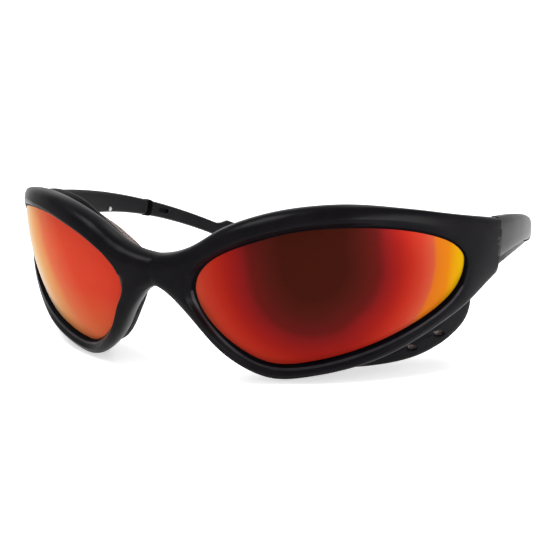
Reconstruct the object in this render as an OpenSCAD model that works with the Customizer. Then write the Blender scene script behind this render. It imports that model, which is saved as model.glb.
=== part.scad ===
// Wrap-around welding glasses: one front with two mirrored lenses, a vented gasket
// and a foam seal behind each lens, and folding temples with latched plug-in ends.
// +Z is up, the wearer looks along -Y, and the wearer's left is +X.

/* [Front] */
// Radius of the curve that the lenses and the front share
lens_curve = 67; // [64:0.5:80]
// Half width of the front, measured along its curve
front_span = 90; // [88:0.5:93]
// Height of the front, measured along its curve
front_height = 43; // [41:0.5:46]
// Width of the straight stretch over the nose
bridge_flat = 9.8; // [8:0.2:12]
// How far the rear of the lens curve is raised
front_tilt = 5.5; // [4:0.1:7]
// Height of the rim's crown above the lens face, at the nose
rim_crown = 2.9; // [2.2:0.1:3.4]
// Height of the rim's crown above the lens face, over the lens's outer half
rim_top_crown = 0.5; // [0.5:0.1:1]
// Height of the rim's crown above the lens face, under the lens's outer half
rim_low_crown = 2; // [1.8:0.1:2.6]
// Height of the rim's crown above the lens face, at the temples
rim_end_crown = 1.1; // [1:0.1:1.8]
// Height of the rim's lip above the lens face, over the lens and beside the nose
rim_top_lip = 0.9; // [0.8:0.1:1.6]
// Height of the rim's lip above the lens face, under the lens
rim_low_lip = 1.7; // [1.2:0.1:2]
// Depth of the rim behind the lens face
rim_back = 3.5; // [3.2:0.1:4.2]

/* [Lenses] */
// Thickness of a lens
lens_t = 2.2; // [1.6:0.1:2.4]
// How far a lens reaches under the rim's lip
lens_tuck = 1.3; // [1:0.1:1.6]

/* [Gaskets and foam] */
// Wall thickness of a gasket
gasket_wall = 1.2; // [0.9:0.1:1.6]
// Diameter of a vent hole
vent_d = 2.2; // [1.4:0.1:2.8]
// Distance between the two vent holes
vent_gap = 9.4; // [8:0.2:12]
// How much higher the outer vent hole lies
vent_rise = 2.3; // [0:0.1:3]
// Free thickness of the foam
foam_t = 5.5; // [4:0.5:7]
// Width of the foam ring
foam_w = 4.6; // [3.5:0.1:5.5]

/* [Temples] */
// Length of a temple from the hinge seam to its tip
temple_l = 103; // [97:0.5:107]
// Height of a temple at the hinge
temple_h = 10.9; // [9.8:0.1:11.4]
// Height of a temple's slim stretch
temple_slim = 4.6; // [4.2:0.1:5.2]
// Thickness of a temple at the hinge
temple_t = 3.9; // [3.6:0.1:4.4]
// Thickness of a temple at its tip
temple_tip_t = 3; // [2.8:0.1:3.6]
// How far the temple's tip lies below the hinge
temple_drop = 29; // [25:0.5:31]
// Direction in which a temple leaves the hinge, inward
heading_hinge = -9.5; // [-11:0.5:-6]
// Direction of a temple's tip, inward
heading_tip = 34; // [28:0.5:38]
// Extra height of the ear paddle, all of it above the slim stretch
paddle_h = 2.8; // [1:0.1:3]
// Distance from the hinge seam to the collar's front face
collar_at = 52.2; // [49:0.2:56]
// Width of the collar
collar_w = 2; // [1.6:0.1:2.6]
// How far the collar stands proud
collar_proud = 0.25; // [0.1:0.05:0.4]
// Distance from the hinge seam to the small pin
pin_at = 33; // [30:0.5:42]
// Diameter of the small pin's head
pin_d = 1.5; // [1.2:0.1:1.8]

/* [Temple ends] */
// Length of the tongue that plugs into the temple end
tongue_l = 13; // [12:0.5:16]
// Height of the tongue
tongue_h = 3.3; // [3.1:0.05:3.5]
// Thickness of the tongue
tongue_t = 1.9; // [1.7:0.05:2]
// Length of the latch slot
slot_l = 4.8; // [4.4:0.1:6]
// Height of the latch slot
slot_h = 1.6; // [1.3:0.1:1.9]

/* [Hinges] */
// Radius of the hinge knuckles
knuckle_r = 2.1; // [1.8:0.05:2.3]
// Height of the knuckle stack
hinge_h = 8.4; // [7.6:0.1:8.8]
// Height of the temple's middle knuckle
tongue_knuckle_h = 3.3; // [2.8:0.1:3.8]
// Diameter of the hinge screw's shank
screw_d = 1.4; // [1.1:0.05:1.6]
// Diameter of the hinge screw's head
screw_head_d = 2.6; // [2.2:0.1:3]

/* [Clearances] */
// Gap between parts that are assembled and stay put
seat_gap = 0.1; // [0.05:0.01:0.15]
// Radial gap of a running fit
run_gap = 0.05; // [0.03:0.01:0.08]
// Gap at the seam between front and temple
seam_gap = 0.3; // [0.2:0.05:0.5]

/* [Hidden] */
$fn = 32;
steps = 3;                 // stations between two outline points
deg = 180 / PI;

// The three outlines are drawn flat, as [along the curve, up], at a half width of 90
// and a height of 43. Point number i of each outline lies on the same spoke.
// The first points run from the bridge along the top to the temple and back below.
lens_outline = [
    [12.6, 1.4], [16.3, 4.2], [23, 6.8], [34, 9.3], [47, 9.2], [60, 6.9], [70.5, 3],
    [75.7, -1], [76.5, -4.2], [75.4, -8], [71.9, -11.8], [64.5, -15.8], [52.5, -20.3],
    [39, -23.4], [27, -24], [18.2, -18.5], [12.4, -11.3], [10.3, -5.6], [10.6, -1.8]
];
rim_outline = [
    [0, 3.6], [9, 5.9], [18, 11], [31, 14.4], [46, 14.7], [61, 11.9], [75, 8.2],
    [98, 1.6], [99.5, -3.1], [93, -8.9], [82, -13.2], [69.5, -19.4], [54.5, -25],
    [38.5, -27.3], [26, -27.8], [15.5, -21], [7.4, -10.3], [0, -3.9]
];
// The gasket's rear edge also has its height above the lens face as a third number.
gasket_outline = [
    [6, 2.8, -5.4], [10.5, 5.2, -5.3], [19, 10.2, -5.6], [31, 14.3, -6.6], [46, 14.6, -7.2],
    [60, 12, -7], [69.5, 8.2, -7], [77.4, 3.2, -7], [80.2, -3.5, -6.8], [83.4, -9.8, -5.6],
    [87.3, -18, -4.4], [86, -26.8, -4], [71, -33, -4.4], [46, -33, -5.8],
    [28.5, -29.6, -6.8], [18.4, -24.2, -6.4], [9.9, -13.8, -6.2], [6.2, -7, -6],
    [5.4, -1.8, -5.8]
];

// Curves through points
function blend(a, b, t) = a + (b - a) * t;
function ease(t) = let(c = min(max(t, 0), 1)) c * c * (3 - 2 * c);
function curve(a, b, c, d, t) = 0.5 * (2 * b + (c - a) * t
    + (2 * a - 5 * b + 4 * c - d) * t * t + (3 * b - a - 3 * c + d) * t * t * t);
function loop_curve(pts) = let(n = len(pts))
    [for (i = [0 : n - 1], j = [0 : steps - 1])
        curve(pts[(i + n - 1) % n], pts[i], pts[(i + 1) % n], pts[(i + 2) % n], j / steps)];

// Drawn sizes follow the front's own width and height
draw_u = front_span / 90;
draw_v = front_height / 43;
function fit_size(p) = [p[0] * draw_u, p[1] * draw_v];

lens_loop = loop_curve([for (p = lens_outline) fit_size(p)]);
spokes = len(lens_loop);
gasket_loop = loop_curve([for (p = gasket_outline) concat(fit_size(p), [p[2]])]);

// The rim's outer edge runs smoothly through the middle of the bridge, so the curve
// sees its own mirror image there, and a straight run down the middle closes it.
rim_pts = [for (p = rim_outline) fit_size(p)];
rim_last = len(rim_pts) - 1;
function flip(p) = [-p[0], p[1]];
function rim_pt(i) = i < 0 ? flip(rim_pts[1]) : i > rim_last ? flip(rim_pts[rim_last - 1]) : rim_pts[i];
bridge_steps = (len(lens_outline) - rim_last) * steps;
rim_loop = concat(
    [for (i = [0 : rim_last - 1], j = [0 : steps - 1])
        curve(rim_pt(i - 1), rim_pt(i), rim_pt(i + 1), rim_pt(i + 2), j / steps)],
    [for (j = [0 : bridge_steps - 1])
        blend(rim_pts[rim_last], rim_pts[0], (1 - cos(180 * j / bridge_steps)) / 2)]);
// Share of the bridge at a spoke: 0 on the rims and at the bridge's edges, 1 inside it
function on_bridge(k) = k > rim_last * steps ? 1 : 0;
// Distance of a drawn point from the front's outer edge
function seg_gap(p, a, b) = let(ab = b - a, t = min(max((p - a) * ab / (ab * ab), 0), 1))
    norm(p - a - ab * t);
function from_edge(p) = min([for (i = [0 : rim_last * steps - 1]) seg_gap(p, rim_loop[i], rim_loop[i + 1])]);

// Place on the curved front: u along the curve, v up, h out from the lens face
function wrap(p) = let(
        turn = max(abs(p[0]) - bridge_flat / 2, 0) / lens_curve * deg,
        rise = p[1] / lens_curve * deg, r = lens_curve + p[2],
        x = sign(p[0]) * (min(abs(p[0]), bridge_flat / 2) + r * cos(rise) * sin(turn)),
        y = lens_curve - r * cos(rise) * cos(turn), z = r * sin(rise))
    [x, y * cos(front_tilt) - z * sin(front_tilt), y * sin(front_tilt) + z * cos(front_tilt)];
curve_centre = wrap([bridge_flat / 2, 0, -lens_curve]);

// Closed skin over rings of points, each ring the same length
function ring_faces(rings, m, closed) = [
    for (k = [0 : rings - (closed ? 1 : 2)], i = [0 : m - 1], half = [0, 1])
        let(a = k * m + i, b = k * m + (i + 1) % m, e = (k + 1) % rings,
            c = e * m + (i + 1) % m, d = e * m + i)
        half == 0 ? [a, b, c] : [a, c, d]];
module ring_solid(rings) {
    m = len(rings[0]);
    polyhedron([for (r = rings, p = r) p], ring_faces(len(rings), m, true), 10);
}
module rod_solid(rings) {
    n = len(rings);
    m = len(rings[0]);
    polyhedron([for (r = rings, p = r) p], concat(ring_faces(n, m, false),
        [[for (i = [m - 1 : -1 : 0]) i]], [[for (i = [0 : m - 1]) (n - 1) * m + i]]), 10);
}

// Front frame
lens_gap_h = seat_gap;                 // gap over the lens face, under the lip
function spoke_dir(k) = let(d = rim_loop[k] - lens_loop[k]) d / norm(d);
function off_lens(k, d, h) = concat(lens_loop[k] + spoke_dir(k) * d, [h]);
function off_flat(k, q) = blend(lens_loop[k], rim_loop[k], q);
function off_rim(k, q, h) = concat(off_flat(k, q), [h]);
rebate_d = lens_tuck + seat_gap;
lip_d = 0.7;                           // distance of the lip's ridge from the lens's edge
// The crown is high over the nose. Towards the temple it turns from a low one over the
// lens to a high one under it, and both run out to the crown at the temple.
crown_from = 40;
crown_to = 63;
crown_top_v = 0.7;
crown_low_v = -12;
end_from = 76;
end_to = 88;
function drawn_u(k) = lens_loop[k][0] / draw_u;
function drawn_v(k) = lens_loop[k][1] / draw_v;
function outer_crown(k) = blend(rim_top_crown, rim_low_crown,
    ease((crown_top_v - drawn_v(k)) / (crown_top_v - crown_low_v)));
function crown(k) = blend(rim_crown, outer_crown(k), ease((drawn_u(k) - crown_from) / (crown_to - crown_from)));
// The lip is lower over the lens and beside the nose than under the lens
function lip(k) = min(crown(k) * 0.85,
    blend(rim_top_lip, rim_low_lip, ease((-drawn_v(k) - 4) / 8) * ease((drawn_u(k) - 13) / 7)));
// The crown is rounded off towards the outer edge, where it meets the wall. The ends at
// the temples are squarer.
wall_top = -0.6;
round_max = 3.2;
end_round = 1.6;
function rounding(k, p) = min(blend(round_max, end_round, ease((p[0] / draw_u - 68) / 14)),
    norm(rim_loop[k] - lens_loop[k]) * 0.55);
function swell(k, p, share) = let(
        t = 1 - min(from_edge(p) / rounding(k, p), 1),
        top = blend(crown(k) * share, rim_end_crown, ease((p[0] / draw_u - end_from) / (end_to - end_from))))
    wall_top + (top - wall_top) * sqrt(1 - t * t);
// The gasket lies on the rear face out to this far from the lens. The face keeps to the
// lens curve that far, and again halfway out.
root_max = 4.2;
function rear_d(k) = min(root_max + 0.3, norm(rim_loop[k] - lens_loop[k]) * 0.7);
// Every spoke has the same stations: the lip, the rise to the crown, the crown, the
// rounding, the wall and the rear face.
// Distance along a spoke at which the outer edge is a given way off, found by halving
function reach_d(k, gap, a, b, n = 9) = let(m = (a + b) / 2)
    n == 0 ? m : from_edge(root_pt(k, m)) > gap ? reach_d(k, gap, m, b, n - 1) : reach_d(k, gap, a, m, n - 1);
round_at = [1, 0.6, 0.3, 0.09];        // stations of the rounding, as shares of its radius
station_gap = 0.12;
function face_d(k) = let(wide = norm(rim_loop[k] - lens_loop[k]), r = rounding(k, rim_loop[k]))
    [for (i = [0 : 3]) max(lip_d + (i + 2) * station_gap,
        min(reach_d(k, r * round_at[i], lip_d, wide), wide - (4 - i) * station_gap))];
rise_d = 1.9;
function crown_d(k, face) = let(a = min(blend(lip_d, face, 0.5), rise_d)) [for (q = [0, 0.35, 0.7]) blend(a, face, q)];
function rim_section(k) = let(face = face_d(k)) [
    off_lens(k, 0, lens_gap_h),
    off_lens(k, 0.2, lip(k) * 0.62),
    off_lens(k, lip_d, lip(k)),
    for (d = concat(crown_d(k, face[0]), face)) let(p = root_pt(k, d)) concat(p, [swell(k, p, d < rise_d ? 0.95 : 1)]),
    off_rim(k, 1, swell(k, rim_loop[k], 1)),
    off_rim(k, 1, blend(-2.3, -rim_back, on_bridge(k))),
    off_rim(k, 0.93, -rim_back),
    concat((off_flat(k, 0.93) + root_pt(k, rear_d(k))) / 2, [-rim_back]),
    off_lens(k, rear_d(k), -rim_back),
    off_lens(k, rebate_d, -rim_back),
    off_lens(k, rebate_d, lens_gap_h)
];
half_rings = [for (k = [0 : spokes - 1]) [for (p = rim_section(k)) wrap(p)]];
section_n = len(half_rings[0]);
half_pts = [for (r = half_rings, p = r) p];
// Both halves share the points in the middle plane, so the quads that lie in it are left out
function in_middle(f) = max([for (i = f) abs(half_pts[i][0])]) < 0.001;
half_faces = [for (f = ring_faces(spokes, section_n, true)) if (!in_middle(f)) f];
module front_shell() {
    n = len(half_pts);
    polyhedron(concat(half_pts, [for (p = half_pts) [-p[0], p[1], p[2]]]),
        concat(half_faces, [for (f = half_faces) [f[2] + n, f[1] + n, f[0] + n]]), 10);
}

// Hinge: the seam is a plane across the end of the front, the pin stands upright behind it
seam_v = -1.05 * draw_v;
seam_pt = wrap([front_span, seam_v, 0]);
seam_y = seam_pt[1];
end_outer = wrap([front_span, seam_v, rim_end_crown * 0.9]);
temple_x = end_outer[0] - temple_t / 2;
temple_z = seam_pt[2];
pivot_x = temple_x - temple_t / 2 - 0.6;
pivot_y = seam_y + knuckle_r + 0.15;
screw_head_t = 0.9;
lug_h = (hinge_h - tongue_knuckle_h) / 2 - seat_gap;
module at_pivot(z) {
    translate([pivot_x, pivot_y, temple_z + z]) children();
}
module frame_lug(z) {
    at_pivot(z) cylinder(r = knuckle_r, h = lug_h);
    at_pivot(z) translate([-knuckle_r, -knuckle_r - 1.8, 0]) cube([2 * knuckle_r, knuckle_r + 1.8, lug_h]);
}
module frame_lugs() {
    difference() {
        union() {
            frame_lug(-hinge_h / 2);
            frame_lug(hinge_h / 2 - lug_h);
        }
        at_pivot(-hinge_h / 2 - 1) cylinder(d = screw_d + 2 * run_gap, h = hinge_h + 2);
        at_pivot(hinge_h / 2 - screw_head_t) cylinder(d = screw_head_d + 2 * run_gap, h = 2);
    }
}
module front_frame() {
    color([0.13, 0.12, 0.13]) place() {
        difference() {
            front_shell();
            for (side = [-1, 1])
                translate([side * (temple_x + 10) - 25, seam_y, -20]) cube([50, 30, 40]);
        }
        both_sides() frame_lugs();
    }
}

// Lens: a shell between two spheres, cut by a cone that spreads from their centre
lens_fn = 100;
module lens_cone() {
    reach = 1.5;
    rim = [for (k = [0 : spokes - 1]) let(p = wrap(off_lens(k, lens_tuck, 0)))
        curve_centre + (p - curve_centre) * reach];
    middle = wrap([43 * draw_u, -7 * draw_v, lens_curve * (reach - 1)]);
    polyhedron(concat(rim, [curve_centre, middle]), concat(
        [for (k = [0 : spokes - 1]) [(k + 1) % spokes, k, spokes]],
        [for (k = [0 : spokes - 1]) [k, (k + 1) % spokes, spokes + 1]]), 10);
}
module lens() {
    intersection() {
        translate(curve_centre) difference() {
            sphere(r = lens_curve, $fn = lens_fn);
            sphere(r = lens_curve - lens_t, $fn = lens_fn);
        }
        lens_cone();
    }
}

// Gasket: a plate behind the rim with a rib into the lens rebate, and a flared skirt
plate_back = rim_back + seat_gap + gasket_wall;
rib_gap = lens_t + seat_gap;
function root_d(k) = min(norm(rim_loop[k] - lens_loop[k]) * 0.92, root_max);
function edge_pt(k) = [gasket_loop[k][0], gasket_loop[k][1]];
function edge_h(k) = gasket_loop[k][2] + rim_back - 3.5;
function edge_in(k, d) = let(a = edge_pt(k) - lens_loop[k]) edge_pt(k) - a / norm(a) * d;
function root_pt(k, d) = lens_loop[k] + spoke_dir(k) * d;
function gasket_section(k) = let(root = root_d(k), front = -rim_back - seat_gap) [
    off_lens(k, lens_tuck, -rib_gap),
    concat(root_pt(k, lens_tuck), [front]),
    concat(root_pt(k, root), [front]),
    concat(blend(root_pt(k, root), edge_pt(k), 0.55), [blend(front, edge_h(k) + gasket_wall, 0.35)]),
    concat(edge_pt(k), [edge_h(k) + gasket_wall * 0.9]),
    concat(edge_in(k, 0.25), [edge_h(k)]),
    concat(edge_in(k, gasket_wall), [edge_h(k)]),
    concat(blend(root_pt(k, root - gasket_wall), edge_in(k, gasket_wall), 0.5),
        [blend(-plate_back, edge_h(k), 0.35)]),
    concat(root_pt(k, root - gasket_wall), [-plate_back]),
    off_lens(k, 0.15, -plate_back),
    off_lens(k, 0.15, -rib_gap)
];
// The vent holes run straight back through the lobe below the outer half of the lens
vent_u = 71.9 * draw_u;
vent_v = -27.7 * draw_v;
module vent(side) {
    translate(wrap([vent_u + side * vent_gap / 2, vent_v + side * vent_rise / 2, -rim_back]))
        rotate([90, 0, 0]) cylinder(d = vent_d, h = 16, center = true);
}
module gasket() {
    difference() {
        ring_solid([for (k = [0 : spokes - 1]) [for (p = gasket_section(k)) wrap(p)]]);
        vent(-1);
        vent(1);
    }
}

// Foam: a ring inside the gasket's skirt. In the lobe it runs out along the skirt's edge,
// so that it lies behind the vent holes.
lobe_from = -6.4;
lobe_full = -4.6;
foam_edge = 0.1;                       // distance of the foam from the skirt's edge, in the lobe
function in_lobe(k) = drawn_u(k) < 30 ? 0 : ease((edge_h(k) - lobe_from) / (lobe_full - lobe_from));
function foam_section(k) = let(
        inner = 0.5, skirt = min(root_d(k), norm(edge_pt(k) - lens_loop[k]) - 2 * seat_gap),
        outer = min(skirt - gasket_wall - seat_gap, foam_w + inner), w = in_lobe(k),
        a = blend(root_pt(k, inner), edge_in(k, foam_edge + foam_w), w),
        b = blend(root_pt(k, outer), edge_in(k, foam_edge), w),
        front = -plate_back - seat_gap, back = front - foam_t,
        front_b = blend(front, min(-plate_back, edge_h(k)) - 3 * seat_gap, min(2 * w, 1))) [
    concat(a, [front]),
    concat(b, [front_b]),
    for (q = [[1, 0.35], [1, 0.8], [0.8, 0.96], [0.4, 1], [0.05, 0.93], [-0.1, 0.7]])
        concat(blend(a, b, q[0]), [blend(front, back, q[1])])
];
module foam() {
    ring_solid([for (k = [0 : spokes - 1]) [for (p = foam_section(k)) wrap(p)]]);
}

// Temple: its middle line turns inward at a steady rate and drops more and more.
// Near the ear its upper edge rises to a paddle, so the middle line rises by half of that.
hinge_taper = 2.7;
function paddle(s) = paddle_h * ease((s / temple_l - 0.832) / 0.045);
turn_rate = (heading_tip - heading_hinge) / temple_l;
function heading(s) = heading_hinge + turn_rate * s;
function temple_at(s) = [
    temple_x - (cos(heading_hinge) - cos(heading(s))) / turn_rate * deg,
    seam_y + (sin(heading(s)) - sin(heading_hinge)) / turn_rate * deg,
    temple_z - temple_drop * pow(s / temple_l, 2) + paddle(s) / 2];
function pitch(s) = atan(2 * temple_drop * s / temple_l / temple_l);
function temple_thick(s) = blend(temple_t, temple_tip_t, s / temple_l);
function temple_high(s) = temple_slim + (temple_h - temple_slim) * pow(1 - s / temple_l, hinge_taper)
    + paddle(s);
// The tip is rounded off over its last stretch
tip_round = 4;
function tip_fade(s) = sqrt(max(0.02, 1 - pow(max(0, s - temple_l + tip_round) / tip_round, 2)));
function temple_ring(s, grow) = let(n = 16, c = temple_at(s), yaw = heading(s), dip = pitch(s),
        side = [cos(yaw), sin(yaw), 0],
        up = [-sin(yaw) * sin(dip), cos(yaw) * sin(dip), cos(dip)],
        a = (temple_thick(s) / 2 + grow) * tip_fade(s), b = (temple_high(s) / 2 + grow) * tip_fade(s))
    [for (i = [0 : n - 1]) let(t = 360 * (i + 0.5) / n)
        c + side * a * sign(cos(t)) * pow(abs(cos(t)), 0.62) + up * b * sign(sin(t)) * pow(abs(sin(t)), 0.72)];
module temple_stretch(from, to, count, grow = 0) {
    rod_solid([for (i = [0 : count]) temple_ring(blend(from, to, i / count), grow)]);
}
module along_temple(s) {
    translate(temple_at(s)) rotate([-pitch(s), 0, heading(s)]) children();
}

collar_end = collar_at + collar_w;
slot_at = collar_end + 6;             // middle of the slot
pocket_floor = 0.15;                   // thin floor of the tongue behind the latch spring
inner_face = temple_thick(slot_at) / 2;
tongue_root = 1.5;                     // how far the tongue runs into the temple
module tongue(extra) {
    along_temple(collar_at)
        translate([-tongue_t / 2 - extra, -tongue_root, -tongue_h / 2 - extra])
            cube([tongue_t + 2 * extra, tongue_root + tongue_l + extra, tongue_h + 2 * extra]);
}
// The slot's frame: +X points from the inner face to the outer face
module at_slot() {
    along_temple(collar_at) translate([0, slot_at - collar_at, 0]) children();
}
module slot_block(long, high, x0, x1) {
    straight = long - high;
    for (side = [-1, 1])
        translate([x0, side * straight / 2, 0]) rotate([0, 90, 0]) cylinder(d = high, h = x1 - x0);
    translate([x0, -straight / 2, -high / 2]) cube([x1 - x0, straight, high]);
}
module temple() {
    difference() {
        union() {
            difference() {
                temple_stretch(seam_gap, collar_at, 20);
                for (z = [-hinge_h / 2, hinge_h / 2 - lug_h]) {
                    at_pivot(z - seam_gap) cylinder(r = knuckle_r + 0.25, h = lug_h + 2 * seam_gap);
                    at_pivot(z - seam_gap) translate([-knuckle_r, -knuckle_r - 1, 0])
                        cube([2 * knuckle_r + 0.25, knuckle_r + 1, lug_h + 2 * seam_gap]);
                }
            }
            at_pivot(-tongue_knuckle_h / 2) cylinder(r = knuckle_r, h = tongue_knuckle_h);
            at_pivot(-tongue_knuckle_h / 2) translate([0, -knuckle_r, 0])
                cube([knuckle_r + 0.6, 2 * knuckle_r, tongue_knuckle_h]);
            tongue(0);
        }
        at_pivot(-hinge_h) cylinder(d = screw_d + 2 * run_gap, h = 2 * hinge_h);
        pin_hole(pin_shank_d + 2 * seat_gap);
        at_slot() slot_block(slot_l + 0.6, slot_h + 0.6, -tongue_t, tongue_t / 2 - pocket_floor);
    }
}

// Small pin in the inner face, near the temple's lower edge
pin_shank_d = 0.8;
pin_deep = 1.2;
module at_pin() {
    along_temple(pin_at) translate([-temple_thick(pin_at) / 2, 0, -temple_high(pin_at) * 0.33])
        rotate([0, 90, 0]) children();
}
module pin_hole(d) {
    at_pin() translate([0, 0, -1]) cylinder(d = d, h = pin_deep + 1 + seat_gap);
}
module pin() {
    at_pin() {
        translate([0, 0, -0.35]) cylinder(d1 = pin_d * 0.7, d2 = pin_d, h = 0.35);
        cylinder(d = pin_shank_d, h = pin_deep);
    }
}

module collar() {
    difference() {
        temple_stretch(collar_at + seat_gap, collar_end - seat_gap, 2, collar_proud);
        tongue(run_gap);
    }
}
module temple_end() {
    difference() {
        temple_stretch(collar_end, temple_l, 22);
        tongue(run_gap);
        at_slot() slot_block(slot_l, slot_h, -temple_t, 0);
    }
}

// Latch button: sits in the tongue's pocket and shows through the slot
button_top = 0.25;                     // depth of the button's face under the inner face
foot_t = 0.45;
module latch() {
    at_slot() {
        slot_block(slot_l - 2 * run_gap, slot_h - 2 * run_gap, -inner_face + button_top, -tongue_t / 2 + 0.5);
        slot_block(slot_l + 0.4, slot_h + 0.4, -tongue_t / 2 + 0.05, -tongue_t / 2 + foot_t);
    }
}
// Leaf spring: a bowed strip between the button's foot and the pocket's floor
spring_t = 0.12;
spring_x0 = -tongue_t / 2 + 0.5;
spring_x1 = tongue_t / 2 - pocket_floor;
module latch_spring() {
    bow = spring_x1 - spring_x0 - spring_t - 0.08;
    half = slot_l / 2 - 0.6;
    n = 14;
    function leaf(i, t) = let(y = blend(-half, half, i / n)) [spring_x1 - 0.04 - t - bow * (1 - pow(y / half, 2)), y];
    at_slot() translate([0, 0, -slot_h * 0.35]) linear_extrude(slot_h * 0.7)
        polygon(concat([for (i = [0 : n]) leaf(i, 0)], [for (i = [n : -1 : 0]) leaf(i, spring_t)]));
}

// Hinge screw with a slotted head
module screw() {
    difference() {
        union() {
            at_pivot(-hinge_h / 2 + 0.3) cylinder(d = screw_d, h = hinge_h - screw_head_t);
            at_pivot(hinge_h / 2 - screw_head_t + 0.02) cylinder(d = screw_head_d, h = screw_head_t - 0.1);
        }
        at_pivot(hinge_h / 2 - 0.4) translate([-screw_head_d, -0.2, 0]) cube([2 * screw_head_d, 0.4, 1]);
    }
}

// The origin lies under the middle of the box round all parts, at the height of the
// surface that the glasses stand on
tip_pts = [for (i = [0 : 22]) for (p = temple_ring(blend(collar_end, temple_l, i / 22), 0)) p];
gasket_low = min([for (k = [0 : spokes - 1]) for (p = gasket_section(k)) wrap(p)[2]]);
rim_low = min([for (p = half_pts) p[2]]);
tip_low = min([for (p = tip_pts) p[2]]);
front_y = min([for (p = half_pts) p[1]]);
back_y = max([for (p = tip_pts) p[1]]);
stand_z = min(gasket_low, rim_low, tip_low);
middle_y = (front_y + back_y) / 2;
module place() {
    translate([0, -middle_y, -stand_z]) children();
}
module both_sides() {
    children();
    mirror([1, 0, 0]) children();
}
module on_side(left) {
    if (left) place() children();
    else mirror([1, 0, 0]) place() children();
}

module lens_left() { color([0.85, 0.25, 0.12]) on_side(true) lens(); }
module lens_right() { color([0.85, 0.25, 0.12]) on_side(false) lens(); }
module gasket_left() { color([0.2, 0.19, 0.2]) on_side(true) gasket(); }
module gasket_right() { color([0.2, 0.19, 0.2]) on_side(false) gasket(); }
module foam_left() { color([0.32, 0.28, 0.27]) on_side(true) foam(); }
module foam_right() { color([0.32, 0.28, 0.27]) on_side(false) foam(); }
module temple_left() { color([0.18, 0.17, 0.18]) on_side(true) temple(); }
module temple_right() { color([0.18, 0.17, 0.18]) on_side(false) temple(); }
module collar_left() { color([0.03, 0.03, 0.03]) on_side(true) collar(); }
module collar_right() { color([0.03, 0.03, 0.03]) on_side(false) collar(); }
module temple_end_left() { color([0.2, 0.19, 0.2]) on_side(true) temple_end(); }
module temple_end_right() { color([0.2, 0.19, 0.2]) on_side(false) temple_end(); }
module pin_left() { color([0.6, 0.6, 0.62]) on_side(true) pin(); }
module pin_right() { color([0.6, 0.6, 0.62]) on_side(false) pin(); }
module latch_left() { color([0.04, 0.04, 0.04]) on_side(true) latch(); }
module latch_right() { color([0.04, 0.04, 0.04]) on_side(false) latch(); }
module latch_spring_left() { color([0.7, 0.7, 0.7]) on_side(true) latch_spring(); }
module latch_spring_right() { color([0.7, 0.7, 0.7]) on_side(false) latch_spring(); }
module screw_left() { color([0.55, 0.55, 0.57]) on_side(true) screw(); }
module screw_right() { color([0.55, 0.55, 0.57]) on_side(false) screw(); }

front_frame();
lens_left();
lens_right();
gasket_left();
gasket_right();
foam_left();
foam_right();
temple_left();
temple_right();
collar_left();
collar_right();
temple_end_left();
temple_end_right();
pin_left();
pin_right();
latch_left();
latch_right();
latch_spring_left();
latch_spring_right();
screw_left();
screw_right();
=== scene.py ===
import math

import bmesh
import bpy
from mathutils import Matrix, Vector
from mathutils.geometry import intersect_point_line


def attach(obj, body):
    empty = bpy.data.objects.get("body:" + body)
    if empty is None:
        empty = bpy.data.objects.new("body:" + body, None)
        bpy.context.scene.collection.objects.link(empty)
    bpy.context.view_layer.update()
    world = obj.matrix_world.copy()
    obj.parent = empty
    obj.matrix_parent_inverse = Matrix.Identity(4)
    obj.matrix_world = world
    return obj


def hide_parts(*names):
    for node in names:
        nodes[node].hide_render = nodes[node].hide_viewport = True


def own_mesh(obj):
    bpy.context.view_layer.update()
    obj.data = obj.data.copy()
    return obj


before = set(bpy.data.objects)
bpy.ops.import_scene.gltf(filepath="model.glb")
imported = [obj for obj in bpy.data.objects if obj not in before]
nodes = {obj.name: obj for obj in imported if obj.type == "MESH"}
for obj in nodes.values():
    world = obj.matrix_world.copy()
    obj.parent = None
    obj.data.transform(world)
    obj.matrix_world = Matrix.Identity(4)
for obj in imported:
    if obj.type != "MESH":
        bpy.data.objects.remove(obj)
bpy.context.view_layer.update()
sides = ("left", "right")
mm = 0.001


# Shader sums written as Python expressions
class Signal:                                    # the output of a shader node
    def __init__(self, finish, socket):
        self.finish, self.socket = finish, socket

    def sum(self, kind, first, second):
        return self.finish.node("ShaderNodeMath", {"operation": kind}, {0: first, 1: second})

    def __add__(self, other):
        return self.sum("ADD", self, other)

    def __radd__(self, other):
        return self.sum("ADD", other, self)

    def __sub__(self, other):
        return self.sum("SUBTRACT", self, other)

    def __rsub__(self, other):
        return self.sum("SUBTRACT", other, self)

    def __mul__(self, other):
        return self.sum("MULTIPLY", self, other)

    def __rmul__(self, other):
        return self.sum("MULTIPLY", other, self)

    def __truediv__(self, other):
        return self.sum("DIVIDE", self, other)

    def __pow__(self, other):
        return self.sum("POWER", self, other)


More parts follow.
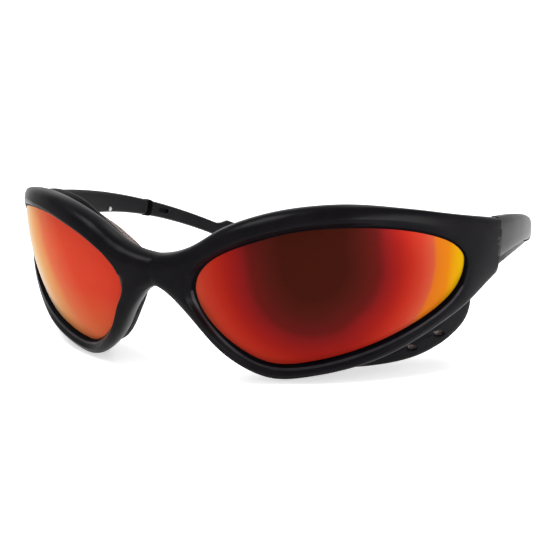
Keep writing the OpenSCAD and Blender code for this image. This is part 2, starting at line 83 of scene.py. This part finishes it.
class Finish:                                    # one material with its nodes
    def __init__(self, name, **plain):
        self.material = bpy.data.materials.new(name)
        self.material.use_nodes = True
        self.tree = self.material.node_tree
        self.shader = self.tree.nodes["Principled BSDF"]
        self.set(**plain)

    def feed(self, socket, value):
        if isinstance(value, Signal):
            self.tree.links.new(value.socket, socket)
        elif isinstance(value, (tuple, list)) and len(value) == 3 and socket.type == "RGBA":
            socket.default_value = (*value, 1)
        else:
            socket.default_value = value

    def node(self, kind, settings=None, inputs=None, out=0):
        made = self.tree.nodes.new(kind)
        for key, value in (settings or {}).items():
            if key == "stops":
                ramp = made.color_ramp
                while len(ramp.elements) < len(value):
                    ramp.elements.new(0.5)
                for element, (place, colour) in zip(ramp.elements, value):
                    element.position, element.color = place, (*colour, 1)
            else:
                setattr(made, key, value)
        for key, value in (inputs or {}).items():
            self.feed(made.inputs[key], value)
        return Signal(self, made.outputs[out])

    def place(self, turn=(0, 0, 0), scale=(1, 1, 1), shift=(0, 0, 0)):
        coords = self.node("ShaderNodeTexCoord", out="Object")
        return self.node("ShaderNodeMapping", None,
                         {"Vector": coords, "Rotation": turn, "Scale": scale, "Location": shift})

    def noise(self, size, detail=3, where=None, rough=0.5):
        return self.node("ShaderNodeTexNoise", None, {
            "Vector": where or self.place(), "Scale": 1 / size, "Detail": detail, "Roughness": rough})

    def cells(self, size):
        return self.node("ShaderNodeTexVoronoi", None, {"Vector": self.place(), "Scale": 1 / size})

    def remap(self, value, low, high, newLow=0.0, newHigh=1.0):
        return self.node("ShaderNodeMapRange", None,
                         {0: value, 1: low, 2: high, 3: newLow, 4: newHigh})

    def blend(self, factor, first, second):
        return self.node("ShaderNodeMix", {"data_type": "RGBA"}, {0: factor, 6: first, 7: second}, out=2)

    def ramp(self, value, stops):
        return self.node("ShaderNodeValToRGB", {"stops": stops}, {0: value})

    def greater(self, value, limit):
        return self.node("ShaderNodeMath", {"operation": "MAXIMUM"}, {0: value, 1: limit})

    def bump(self, height, strength, depth):
        self.feed(self.shader.inputs["Normal"], self.node(
            "ShaderNodeBump", None, {"Height": height, "Strength": strength, "Distance": depth}))

    def set(self, **values):
        for key, value in values.items():
            self.feed(self.shader.inputs[key.replace("_", " ")], value)
        return self


def screenTone(red, green, blue):                # screen values 0 to 255 as linear light
    return tuple((c / 255 / 12.92) if c <= 10 else ((c / 255 + 0.055) / 1.055) ** 2.4
                 for c in (red, green, blue))


# Satin black plastics of the front, the temples, the collars and the latches. The front's
# recess is painted darker as painted shade, and its lower ridge paler as a painted highlight
plastics = dict(
    frameBlack=dict(tone=(8, 7, 9), paler=(13, 11, 14), grain=0.35 * mm, mottle=7 * mm,
                    gloss=0.32, shine=0.04),
    # painted shade for the lens recess
    recessPaintedShade=dict(tone=(4, 3, 5), paler=(7, 6, 8), grain=0.3 * mm, mottle=5 * mm,
                     gloss=0.5, shine=0.015),
    # painted highlight for the lower ridge
    ridgePaintedHighlight=dict(tone=(24, 22, 25), paler=(36, 33, 37), grain=0.3 * mm, mottle=4 * mm,
                    gloss=0.3, shine=0.12),
    templeBlack=dict(tone=(8, 7, 9), paler=(14, 12, 15), grain=0.3 * mm, mottle=9 * mm,
                     gloss=0.34, shine=0.07),
    collarBlack=dict(tone=(2, 2, 3), paler=(4, 4, 5), grain=0.25 * mm, mottle=5 * mm,
                     gloss=0.6, shine=0.01),
    latchBlack=dict(tone=(2, 2, 3), paler=(5, 5, 6), grain=0.25 * mm, mottle=4 * mm,
                    gloss=0.5, shine=0.03))
plasticSkin = dict(worn=(0.35, 0.7), wornGloss=0.12, grainGloss=0.05, strength=0.25, depth=0.02 * mm)


def satinPlastic(name, tone, paler, grain, mottle, gloss, shine):
    f = Finish(name, IOR=1.5, Specular_IOR_Level=shine)
    worn = f.noise(mottle, 4)
    fine = f.noise(grain, 2)
    f.set(Base_Color=f.blend(f.remap(worn, *plasticSkin["worn"]), screenTone(*tone), screenTone(*paler)),
          Roughness=gloss + (worn - 0.5) * plasticSkin["wornGloss"]
          + (fine - 0.5) * plasticSkin["grainGloss"])
    f.bump(fine * 0.6 + f.noise(grain * 3, 2) * 0.4, plasticSkin["strength"], plasticSkin["depth"])
    return f.material


black = {name: satinPlastic(name, **look) for name, look in plastics.items()}


# Moulded rubber of the gaskets
rubberLook = dict(tone=(7, 6, 8), dusty=(16, 14, 17), dust=3 * mm, grain=0.4 * mm, gloss=(0.45, 0.62),
                  shine=0.04, strength=0.3, depth=0.03 * mm)


def gasketRubber():
    f = Finish("gasketRubber", IOR=1.48, Specular_IOR_Level=rubberLook["shine"])
    dust = f.noise(rubberLook["dust"], 5, rough=0.65)
    f.set(Base_Color=f.blend(f.remap(dust, 0.4, 0.75), screenTone(*rubberLook["tone"]),
                             screenTone(*rubberLook["dusty"])),
          Roughness=f.remap(dust, 0.3, 0.7, *rubberLook["gloss"]))
    f.bump(f.noise(rubberLook["grain"], 3) + dust * 0.5, rubberLook["strength"], rubberLook["depth"])
    return f.material


# Open-cell foam of the face seals, its pores painted darker as painted shade in them
foamLook = dict(poreShade=(40, 35, 35), tone=(96, 86, 84), paler=(142, 128, 124), cell=0.55 * mm, cloud=2.2 * mm,
                grain=0.3 * mm, gloss=0.9, shine=0.15, strength=0.7, depth=0.12 * mm)


def sealFoam():
    f = Finish("sealFoam", IOR=1.4, Specular_IOR_Level=foamLook["shine"])
    cell = f.cells(foamLook["cell"])
    tint = f.noise(foamLook["cloud"], 3)
    poreReliefAndShade = f.remap(cell, 0.1, 0.55)
    walls = f.blend(tint, screenTone(*foamLook["tone"]), screenTone(*foamLook["paler"]))
    # the pores are painted darker as shade in them; the same pattern gives them relief in the bump
    f.set(Base_Color=f.blend(poreReliefAndShade, screenTone(*foamLook["poreShade"]), walls), Roughness=foamLook["gloss"])
    f.bump(poreReliefAndShade + f.noise(foamLook["grain"], 2) * 0.3, foamLook["strength"], foamLook["depth"])
    return f.material


# Dark tinted back and edge of the lenses
smokeLook = dict(tone=(20, 15, 14), paler=(40, 30, 26), cloud=18 * mm, ripple=9 * mm, smear=5 * mm,
                 smearGloss=0.08, gloss=0.08, shine=0.35, strength=0.05, depth=0.02 * mm)


def smokedLens():
    f = Finish("smokedLens", IOR=1.55, Specular_IOR_Level=smokeLook["shine"])
    cloud = f.noise(smokeLook["cloud"], 3)
    f.set(Base_Color=f.blend(cloud, screenTone(*smokeLook["tone"]), screenTone(*smokeLook["paler"])),
          Roughness=smokeLook["gloss"] + f.noise(smokeLook["smear"], 4) * smokeLook["smearGloss"])
    f.bump(f.noise(smokeLook["ripple"], 2), smokeLook["strength"], smokeLook["depth"])
    return f.material


# Bright steel of the screws, pins and springs
steels = dict(screwSteel=dict(tone=(120, 120, 124), gloss=0.32, streak=0.3 * mm),
              pinSteel=dict(tone=(176, 176, 180), gloss=0.3, streak=0.25 * mm),
              springSteel=dict(tone=(190, 188, 184), gloss=0.25, streak=0.2 * mm))
steelSkin = dict(spots=0.8 * mm, duller=0.82, drawn=12, streakGloss=0.16, strength=0.2, depth=0.01 * mm)


def turnedSteel(name, tone, gloss, streak):
    f = Finish(name, Metallic=1.0)
    lines = f.noise(streak, 3, where=f.place(scale=(1, 1, steelSkin["drawn"])))
    spots = f.noise(steelSkin["spots"], 4)
    dull = screenTone(*(c * steelSkin["duller"] for c in tone))
    f.set(Base_Color=f.blend(f.remap(spots, 0.4, 0.7), screenTone(*tone), dull),
          Roughness=gloss + (lines - 0.5) * steelSkin["streakGloss"])
    f.bump(lines, steelSkin["strength"], steelSkin["depth"])
    return f.material


# The sphere that a lens lies on, with its own drawing tilted forward. Places on it are
# u, along the sphere from the nose, and v, up it. A point counts as on the front or the
# back face when it is nearer to it than skin, a share of the thickness.
lensForm = dict(centre=(4.9 * mm, -4.59 * mm, 33.85 * mm), curve=67 * mm, tilt=math.radians(5.5),
                thick=2.2 * mm, skin=0.2, cuts=2, edgeAngle=40)


def onSide(point, side):                         # a place on the left half, or its mirror image
    return Vector((point[0] if side == "left" else -point[0], point[1], point[2]))


# Mirror coating of the lenses with painted reflection. The red, orange and yellow bands are
# the coating's own colours. The dark middle of the left lens and the pale, nearly white edge
# of the right lens are painted reflection, and each lens's ramp is painted brighter or darker
# on its own, as light falls on it. On the left lens each stop is a distance from the dark
# middle, as a share of reach. On the right lens it is a place across the lens from the nose,
# as a share of span, and amber comes in towards the lower edge.
coatAndPaintedReflection = dict(
    left=[(0.0, (70, 25, 16)), (0.18, (71, 25, 17)), (0.27, (86, 28, 22)), (0.37, (108, 28, 26)),
          (0.42, (142, 30, 31)), (0.5, (172, 34, 29)), (0.57, (194, 46, 32)), (0.65, (210, 64, 46)),
          (0.725, (218, 92, 62)), (0.75, (232, 122, 34)), (0.84, (238, 138, 24)), (0.9, (240, 172, 14)),
          (1.0, (242, 198, 8))],
    right=[(0.00, (206, 58, 40)), (0.3, (211, 68, 48)), (0.38, (215, 86, 60)), (0.45, (217, 106, 72)),
           (0.5, (220, 140, 82)), (0.58, (220, 164, 98)), (0.66, (218, 190, 140)), (0.78, (222, 208, 182)),
           (1.0, (228, 222, 212))],
    middle=38 * mm, squashed=0.88, top=1.4 * mm, reach=40 * mm, span=70 * mm, start=8 * mm, lean=0.45,
    amber=(198, 106, 62), amberShare=0.75, amberDown=(-8 * mm, -24 * mm), amberAcross=(0.9, 0.6),
    # tone: each lens's brightness, which is painted light, because both lenses share one coating
    tone=dict(left=0.47, right=0.62), metal=0.3, gloss=0.26, shine=0.02, glance=(0.9, 0.5, 0.28, 1),
    wander=2.5 * mm, wanderSize=14 * mm, smear=6 * mm, smearGloss=0.06, ripple=9 * mm, strength=0.05,
    depth=0.02 * mm)


def lensWithPaintedReflection(side):
    filmAndReflection = coatAndPaintedReflection
    f = Finish("mirrorCoat_" + side, Metallic=filmAndReflection["metal"], IOR=1.5, Specular_IOR_Level=filmAndReflection["shine"],
               Specular_Tint=filmAndReflection["glance"])
    untilt = Matrix.Rotation(-lensForm["tilt"], 3, "X")
    centre = untilt @ onSide(lensForm["centre"], side)
    spot = f.tree.nodes.new("ShaderNodeSeparateXYZ")
    f.feed(spot.inputs[0], f.place(turn=(-lensForm["tilt"], 0, 0), shift=-centre))
    x, y, v = (Signal(f, spot.outputs[i]) for i in range(3))
    across = x if side == "left" else -1 * x
    u = lensForm["centre"][0] + lensForm["curve"] * f.node(
        "ShaderNodeMath", {"operation": "ARCTAN2"}, {0: across, 1: -1 * y})
    drift = (f.noise(filmAndReflection["wanderSize"], 2) - 0.5) * filmAndReflection["wander"]
    if side == "left":
        below = f.greater((filmAndReflection["top"] - v) * filmAndReflection["squashed"], 0)
        out = (((u - filmAndReflection["middle"]) ** 2 + below ** 2) ** 0.5 + drift) / filmAndReflection["reach"]
    else:                                        # the bands lean towards the nose lower down
        out = (u - filmAndReflection["start"] - v * filmAndReflection["lean"] + drift) / filmAndReflection["span"]

    # scales a tint by the lens's own painted brightness
    def tintWithPaintedLight(tint):
        return tuple(c * filmAndReflection["tone"][side] for c in screenTone(*tint))

    # the ramp paints the coating's colours together with the painted reflection
    colour = f.ramp(out, [(place, tintWithPaintedLight(tint)) for place, tint in filmAndReflection[side]])
    if side == "right":
        low = f.remap(v, *filmAndReflection["amberDown"]) * f.remap(out, *filmAndReflection["amberAcross"])
        colour = f.blend(low * filmAndReflection["amberShare"], colour, tintWithPaintedLight(filmAndReflection["amber"]))
    f.set(Base_Color=colour, Roughness=filmAndReflection["gloss"] + f.noise(filmAndReflection["smear"], 3) * filmAndReflection["smearGloss"])
    f.bump(f.noise(filmAndReflection["ripple"], 2), filmAndReflection["strength"], filmAndReflection["depth"])
    return f.material


rubber, foamSkin, lensBack = gasketRubber(), sealFoam(), smokedLens()
steel = {name: turnedSteel(name, **look) for name, look in steels.items()}
print("materials made")


# The CAD pieces that stay: welded and smooth-shaded, with their own edges kept sharp
cadLook = dict(weld=0.002 * mm, edgeAngle=32)
cadFinish = dict(temple=black["templeBlack"], temple_end=black["templeBlack"], collar=black["collarBlack"],
                 pin=steel["pinSteel"], latch=black["latchBlack"], screw=steel["screwSteel"])


def smoothShade(mesh):
    for face in mesh.polygons:
        face.use_smooth = True


def keepEdges(piece, degrees):
    split = piece.modifiers.new("edges", "EDGE_SPLIT")
    split.split_angle = math.radians(degrees)
    split.use_edge_sharp = False


def dress(name, material):
    piece = nodes[name]
    piece.data.materials.clear()
    piece.data.materials.append(material)
    smoothShade(piece.data)
    weld = piece.modifiers.new("weld", "WELD")
    weld.merge_threshold = cadLook["weld"]
    keepEdges(piece, cadLook["edgeAngle"])


for side in sides:
    for part, material in cadFinish.items():
        dress(part + "_" + side, material)
print("CAD pieces dressed")


# New pieces that start from a CAD node's own mesh
mergeWithin = 0.003 * mm


def mergedCopy(node):
    bm = bmesh.new()
    bm.from_mesh(nodes[node].data)
    bmesh.ops.remove_doubles(bm, verts=bm.verts, dist=mergeWithin)
    return bm


def linked(name, data):
    thing = bpy.data.objects.new(name, data)
    bpy.context.scene.collection.objects.link(thing)
    return thing


def addPiece(bm, name, node, materials, levels=0, body="front"):
    mesh = bpy.data.meshes.new(name)
    bm.to_mesh(mesh)
    bm.free()
    for material in materials:
        mesh.materials.append(material)
    smoothShade(mesh)
    piece = linked(name, mesh)
    if levels:
        rounding = piece.modifiers.new("rounding", "SUBSURF")
        rounding.levels = rounding.render_levels = levels
    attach(piece, body)
    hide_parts(node)
    return piece


# The moulded front and the two gaskets: triangles joined to quads, then rounded with
# their corners held by creases
moulding = dict(cornerAngle=36, flatWithin=35, shapeWithin=70, hold=0.85, softHold=0.55,
                softBridge=9 * mm, middleRows=0.2 * mm, middleLine=0.01 * mm, levels=2)

# The edge where the front meets a temple, from its lower to its upper corner
seam = dict(y=-24.237 * mm, x=68.6 * mm, low=22.8 * mm, high=35.2 * mm, near=0.1 * mm,
            inPlane=0.02 * mm, spread=1.2 * mm, merge=0.4 * mm)


def joinQuads(bm, byMaterial=False):
    bmesh.ops.join_triangles(bm, faces=bm.faces, cmp_materials=byMaterial,
                             angle_face_threshold=math.radians(moulding["flatWithin"]),
                             angle_shape_threshold=math.radians(moulding["shapeWithin"]))


def holdCorners(bm, hold, softWithin=0):         # no corner nearer the middle than softWithin
    crease = bm.edges.layers.float.new("crease_edge")
    for edge in bm.edges:
        sharp = edge.is_manifold and edge.calc_face_angle() > math.radians(moulding["cornerAngle"])
        if sharp and abs(edge.verts[0].co.x) > softWithin:
            atSeam = all(abs(v.co.y - seam["y"]) < seam["inPlane"] for v in edge.verts)
            edge[crease] = 1 if atSeam else hold


def endRow(bm, way):
    return [v for v in bm.verts if abs(v.co.y - seam["y"]) < seam["near"] and v.co.x * way > seam["x"]
            and seam["low"] < v.co.z < seam["high"]]


def evenEnd(bm):
    for way in (1, -1):
        bmesh.ops.remove_doubles(bm, verts=endRow(bm, way), dist=seam["merge"])
        row = endRow(bm, way)
        evened = []
        for vert in row:
            pull = [math.exp(-((o.co.z - vert.co.z) / seam["spread"]) ** 2) for o in row]
            evened.append(sum(p * o.co.x for p, o in zip(pull, row)) / sum(pull))
        for vert, x in zip(row, evened):
            vert.co.x = x


def weldMiddle(bm):                              # the close rows beside the middle plane join it
    rows = [v for v in bm.verts if abs(v.co.x) < moulding["middleRows"]]
    centreRow = [v for v in rows if abs(v.co.x) < moulding["middleLine"]]
    homes = {v: min(centreRow, key=lambda c: (c.co - v.co).length) for v in rows if v not in centreRow}
    bmesh.ops.weld_verts(bm, targetmap=homes)


def smoothLoop(verts, rounds):                   # evens out a run of points joined by edges
    chosen = set(verts)
    for _ in range(rounds):
        moved = {}
        for vert in chosen:
            near = [e.other_vert(vert) for e in vert.link_edges if e.other_vert(vert) in chosen]
            if len(near) == 2:
                moved[vert] = vert.co * 0.5 + (near[0].co + near[1].co) * 0.25
        for vert, place in moved.items():
            vert.co = place


# The front's lens recess: how far it runs in under the lens's outline and out from it, and
# the ridge round its lower half, where its lip stands above the lens. The recess carries
# painted shade, and the ridge's bevel carries a painted highlight
recess = dict(tuck=1.3 * mm, width=0.7 * mm, slack=0.22 * mm, lipFrom=0.4 * mm, ridge=0.3 * mm,
              ridgeTop=22 * mm, rounds=3, lensSkin=0.15 * mm, lensAngle=50)


def lensOutline():                               # the left lens's front edge, as pairs of points
    bm = mergedCopy("lens_left")
    bm.normal_update()
    centre = Vector(lensForm["centre"])
    rim = []
    for edge in bm.edges:
        ends = [v.co.copy() for v in edge.verts]
        onFace = all((p - centre).length > lensForm["curve"] - recess["lensSkin"] for p in ends)
        if onFace and edge.calc_face_angle(0) > math.radians(recess["lensAngle"]):
            rim.append(ends)
    bm.free()
    return rim


outline = lensOutline()
lensMiddle = sum((a + b for a, b in outline), Vector()) / (2 * len(outline))


def offLens(point):                              # how far outside the opening, and above the lens
    spot = onSide(point, "left" if point.x > 0 else "right")
    centre = Vector(lensForm["centre"])
    arm = spot - centre
    onSphere = centre + arm.normalized() * lensForm["curve"]
    best = None
    for a, b in outline:
        foot, share = intersect_point_line(onSphere, a, b)
        foot = a if share < 0 else b if share > 1 else foot
        gap = (onSphere - foot).length
        if best is None or gap < best[0]:
            best = gap, foot
    gap, foot = best
    outside = (onSphere - lensMiddle).length > (foot - lensMiddle).length
    return (gap if outside else -gap) + recess["tuck"], arm.length - lensForm["curve"]


# The front has three materials: the frame, the recess with painted shade, and the ridge
# with a painted highlight
def roundedFront():
    bm = mergedCopy("front_frame")
    weldMiddle(bm)
    offsets = {vert: offLens(vert.co) for vert in bm.verts}
    for face in bm.faces:
        # faces in the recess take the painted shade
        inRecess = all(-recess["slack"] < offsets[v][0] < recess["width"] + recess["slack"]
                       and offsets[v][1] > 0 for v in face.verts)
        face.material_index = 1 if inRecess else 0
    joinQuads(bm, byMaterial=True)
    lipEdges = [e for e in bm.edges if len(e.link_faces) == 2
                and e.link_faces[0].material_index != e.link_faces[1].material_index
                and min(offsets[v][1] for v in e.verts) > recess["lipFrom"]]
    smoothLoop({v for e in lipEdges for v in e.verts}, recess["rounds"])
    evenEnd(bm)
    lowerLip = [e for e in lipEdges if e.verts[0].co.z < recess["ridgeTop"]]
    ridge = bmesh.ops.bevel(bm, geom=lowerLip, offset=recess["ridge"], offset_type="OFFSET", affect="EDGES",
                            segments=1, profile=0.5, material=-1)
    # the bevel's faces take the painted highlight
    for face in ridge["faces"]:
        face.material_index = 2
    holdCorners(bm, moulding["hold"], moulding["softBridge"])
    addPiece(bm, "frontMoulding", "front_frame",
             [black["frameBlack"], black["recessPaintedShade"], black["ridgePaintedHighlight"]], moulding["levels"])


def roundedGasket(side):
    bm = mergedCopy("gasket_" + side)
    joinQuads(bm)
    holdCorners(bm, moulding["softHold"])
    addPiece(bm, "gasketSkirt_" + side, "gasket_" + side, [rubber], moulding["levels"])


roundedFront()
for side in sides:
    roundedGasket(side)
print("front and gaskets rounded")


# The lenses: the CAD node's facets cut finer and laid on the two true spheres, with the
# mirror coating and its painted reflection on the front face only
def coatedLens(side):
    bm = mergedCopy("lens_" + side)
    bmesh.ops.subdivide_edges(bm, edges=bm.edges, cuts=lensForm["cuts"], use_grid_fill=True)
    centre = onSide(lensForm["centre"], side)
    outer, thick = lensForm["curve"], lensForm["thick"]
    skin = thick * lensForm["skin"]
    for face in bm.faces:
        onFront = all(outer - (v.co - centre).length < skin for v in face.verts)
        face.material_index = 0 if onFront else 1
    for vert in bm.verts:
        arm = vert.co - centre
        depth = outer - arm.length
        if depth < skin:
            vert.co = centre + arm.normalized() * outer
        elif depth > thick - skin:
            vert.co = centre + arm.normalized() * (outer - thick)
    lens = addPiece(bm, "coatedLens_" + side, "lens_" + side, [lensWithPaintedReflection(side), lensBack])
    keepEdges(lens, lensForm["edgeAngle"])


for side in sides:
    coatedLens(side)
print("lenses made")


# The leaf springs under the latch buttons. The real one flattens as its button goes in;
# each copy here keeps the CAD spring's shape and rides with its temple
leaf = dict(press=(0.976123, 0.217217, 0), seat=71.68 * mm, keep=0.55)


def leafSpring(side):
    bm = mergedCopy("latch_spring_" + side)
    push = onSide(leaf["press"], side)
    middle = sum((v.co for v in bm.verts), Vector()) / len(bm.verts)
    seat = middle + push * (leaf["seat"] - middle.dot(push))
    spring = addPiece(bm, "leafSpring_" + side, "latch_spring_" + side,
                      [steel["springSteel"]], body="temple_" + side + "_body")
    keepEdges(spring, cadLook["edgeAngle"])
    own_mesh(spring)


for side in sides:
    leafSpring(side)
print("leaf springs made")


# The foam seals: each starts a little thin, swells as cloth under pressure in a copy
# twenty times the size, and is capped so that it stays in its own space. It stands a
# little proud at two spots behind the vents.
foamSeal = dict(blowUp=20, voxel=0.6 * mm, inset=0.16 * mm, pressure=4.0, quality=5, frames=20,
                cap=0.14 * mm, fill=0.6, levels=1,
                vents=((56.4 * mm, -25.3 * mm, 6.1 * mm), (51.2 * mm, -31.2 * mm, 2.9 * mm)),
                proud=1.1 * mm, reach=2.4 * mm)


def settled(thing):                              # the mesh as its modifiers leave it
    graph = bpy.context.evaluated_depsgraph_get()
    return bpy.data.meshes.new_from_object(thing.evaluated_get(graph))


def evenFoam(side, grow):                        # the CAD foam in even faces, blown up
    bm = mergedCopy("foam_" + side)
    bmesh.ops.scale(bm, vec=(grow, grow, grow), verts=bm.verts)
    raw = bpy.data.meshes.new("foamRaw")
    bm.to_mesh(raw)
    bm.free()
    blank = linked("foamBlank", raw)
    voxels = blank.modifiers.new("voxels", "REMESH")
    voxels.mode, voxels.voxel_size = "VOXEL", foamSeal["voxel"] * grow
    even = settled(blank)
    bpy.data.objects.remove(blank)
    return even


def thinFoam(even, side, grow):                  # drawn in all over, but proud behind the vents
    bm = bmesh.new()
    bm.from_mesh(even)
    bmesh.ops.smooth_vert(bm, verts=bm.verts, factor=0.5, use_axis_x=True, use_axis_y=True, use_axis_z=True)
    bm.normal_update()
    spots = [onSide(spot, side) for spot in foamSeal["vents"]]
    for vert in bm.verts:
        nearest = min((vert.co / grow - spot).length for spot in spots)
        proud = foamSeal["proud"] * math.exp(-(nearest / foamSeal["reach"]) ** 2)
        vert.co += vert.normal * (proud - foamSeal["inset"]) * grow
    bm.to_mesh(even)
    bm.free()


def swell(even, grow):
    start = [vert.co.copy() for vert in even.vertices]
    pad = linked("foamPad", even)
    cloth = pad.modifiers.new("swell", "CLOTH")
    cloth.settings.quality = foamSeal["quality"]
    cloth.settings.use_pressure = True
    cloth.settings.uniform_pressure_force = foamSeal["pressure"]
    cloth.settings.effector_weights.gravity = 0
    cloth.point_cache.frame_end = foamSeal["frames"]
    for tick in range(1, foamSeal["frames"] + 1):
        bpy.context.scene.frame_set(tick)
    swollen = settled(pad)
    cap = foamSeal["cap"] * grow
    for vert, old, new in zip(even.vertices, start, swollen.vertices):
        move = new.co - old
        vert.co = old + (move * (cap / move.length) if move.length > cap else move)
    bpy.data.objects.remove(pad)
    bpy.context.scene.frame_set(1)


def swollenFoam(side):
    grow = foamSeal["blowUp"]
    even = evenFoam(side, grow)
    thinFoam(even, side, grow)
    swell(even, grow)
    bm = bmesh.new()
    bm.from_mesh(even)
    bmesh.ops.scale(bm, vec=(1 / grow, 1 / grow, 1 / grow), verts=bm.verts)
    seal = addPiece(bm, "foamSeal_" + side, "foam_" + side, [foamSkin], foamSeal["levels"])


for side in sides:
    swollenFoam(side)
print("foam seals swollen")


# Floor, lights and the photograph's camera
studio = dict(floorTone=0.86, floorShade=0.02, floorCloud=0.4, floorGlow=0.5, worldPower=0.55,
              floorReach=1.2, coveRise=1.6, coveStep=10, steps=48, lampSize=0.4)
lamps = dict(keyLight=dict(power=6.0, spot=(-0.22, -0.28, 0.8), aim=(0, -0.04, 0.02)),
             fillLight=dict(power=5.0, spot=(0.75, -0.2, 0.1), aim=(0.05, -0.03, 0.02)),
             rimLight=dict(power=1.5, spot=(0.1, 0.6, 0.6), aim=(0, 0, 0.02)))
photoView = dict(spot=(0.113211, -0.248983, 0.075297), right=(0.90793, 0.41884, -0.01516),
                 up=(-0.08336, 0.21591, 0.97285), sensor=36, focal=60.531, nearest=0.01, farthest=20)


def softLight(name, power, spot, aim):
    lamp = bpy.data.lights.new(name, "AREA")
    lamp.shape, lamp.size, lamp.energy = "DISK", studio["lampSize"], power
    holder = linked(name, lamp)
    holder.location = spot
    holder.rotation_euler = (Vector(aim) - Vector(spot)).to_track_quat("-Z", "Y").to_euler()
    holder.visible_camera = False


def makeFloor():                                 # a round floor that curves up into a low wall
    bm = bmesh.new()
    reach, rise = studio["floorReach"], studio["coveRise"]
    turns = [math.radians(t) for t in range(0, 91, studio["coveStep"])]
    arc = [(reach + rise * math.sin(a), rise * (1 - math.cos(a))) for a in turns]
    profile = [bm.verts.new((r, 0, z)) for r, z in [(0, 0)] + arc]
    edges = [bm.edges.new(pair) for pair in zip(profile, profile[1:])]
    bmesh.ops.spin(bm, geom=profile + edges, cent=(0, 0, 0), axis=(0, 0, 1), angle=math.tau,
                   steps=studio["steps"], use_merge=True)
    bmesh.ops.remove_doubles(bm, verts=bm.verts, dist=mm)
    bmesh.ops.recalc_face_normals(bm, faces=bm.faces)
    mesh = bpy.data.meshes.new("floor")
    bm.to_mesh(mesh)
    bm.free()
    smoothShade(mesh)
    tone = studio["floorTone"]
    cover = Finish("paleFloor", Roughness=0.8, Specular_IOR_Level=0.1, Emission_Strength=studio["floorGlow"])
    shaded = tone - studio["floorShade"]
    cover.set(Base_Color=cover.blend(cover.noise(studio["floorCloud"], 2), (shaded,) * 3, (tone,) * 3),
              Emission_Color=(1, 1, 1))
    mesh.materials.append(cover.material)
    linked("floor", mesh)


def makeStudio():
    makeFloor()
    world = bpy.data.worlds.new("softRoom")
    world.use_nodes = True
    back = world.node_tree.nodes["Background"]
    back.inputs[0].default_value = (1, 1, 1, 1)
    back.inputs[1].default_value = studio["worldPower"]
    bpy.context.scene.world = world
    for name, lamp in lamps.items():
        softLight(name, **lamp)
    bpy.context.scene.view_settings.view_transform = "Standard"


def makeCamera():
    right, up = Vector(photoView["right"]), Vector(photoView["up"])
    turn = Matrix((right, up, right.cross(up))).transposed().to_4x4()
    lens = bpy.data.cameras.new("photoView")
    lens.sensor_width, lens.lens = photoView["sensor"], photoView["focal"]
    lens.clip_start, lens.clip_end = photoView["nearest"], photoView["farthest"]
    camera = linked("photoView", lens)
    camera.matrix_world = Matrix.Translation(photoView["spot"]) @ turn
    bpy.context.scene.camera = camera


makeStudio()
makeCamera()
print("studio ready")
